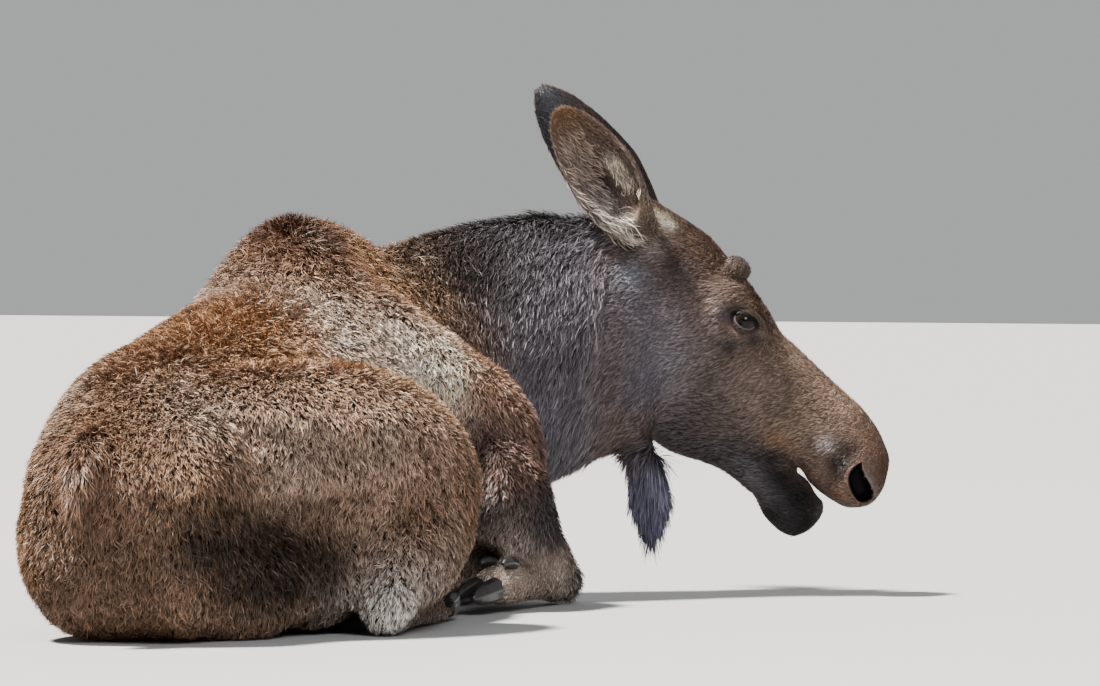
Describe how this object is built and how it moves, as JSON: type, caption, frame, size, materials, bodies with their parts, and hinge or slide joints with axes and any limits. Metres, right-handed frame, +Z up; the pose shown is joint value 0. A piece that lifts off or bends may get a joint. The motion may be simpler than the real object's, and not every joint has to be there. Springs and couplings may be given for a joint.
{
  "type": "lying moose, still life-size model",
  "caption": "Young bull moose lying on its folded legs with its head turned to its right, mouth a little open, a still life-size model as a museum shows",
  "frame": {"origin": "middle of the model's box in plan, on the floor it rests on", "axes": "+X the way the trunk points from tail to chest, +Y the animal's left, +Z up"},
  "size_m": [1.8038, 1.135, 0.8832],
  "materials": {
    "coat": "coarse short to medium hair, brown with pale tips",
    "velvet": "short dark velvet",
    "horn": "smooth dark horn",
    "eye": "wet, glossy and dark brown"
  },
  "bodies": {
    "root": {"antler_bud_left": "velvet", "antler_bud_right": "velvet", "bell": "coat", "ear_left": "coat", "ear_right": "coat", "eye_left": "eye", "eye_right": "eye", "fore_left_arm": "coat", "fore_left_dewclaw_inner": "horn", "fore_left_dewclaw_outer": "horn", "fore_left_foot": "coat", "fore_left_forearm": "coat", "fore_left_hoof_inner": "horn", "fore_left_hoof_outer": "horn", "fore_right_arm": "coat", "fore_right_dewclaw_inner": "horn", "fore_right_dewclaw_outer": "horn", "fore_right_foot": "coat", "fore_right_forearm": "coat", "fore_right_hoof_inner": "horn", "fore_right_hoof_outer": "horn", "head": "coat", "hind_left_dewclaw_inner": "horn", "hind_left_dewclaw_outer": "horn", "hind_left_foot": "coat", "hind_left_gaskin": "coat", "hind_left_hoof_inner": "horn", "hind_left_hoof_outer": "horn", "hind_left_thigh": "coat", "hind_right_dewclaw_inner": "horn", "hind_right_dewclaw_outer": "horn", "hind_right_foot": "coat", "hind_right_gaskin": "coat", "hind_right_hoof_inner": "horn", "hind_right_hoof_outer": "horn", "hind_right_thigh": "coat", "jaw": "coat", "neck": "coat", "tail": "coat", "trunk": "coat"}
  },
  "joints": []
}
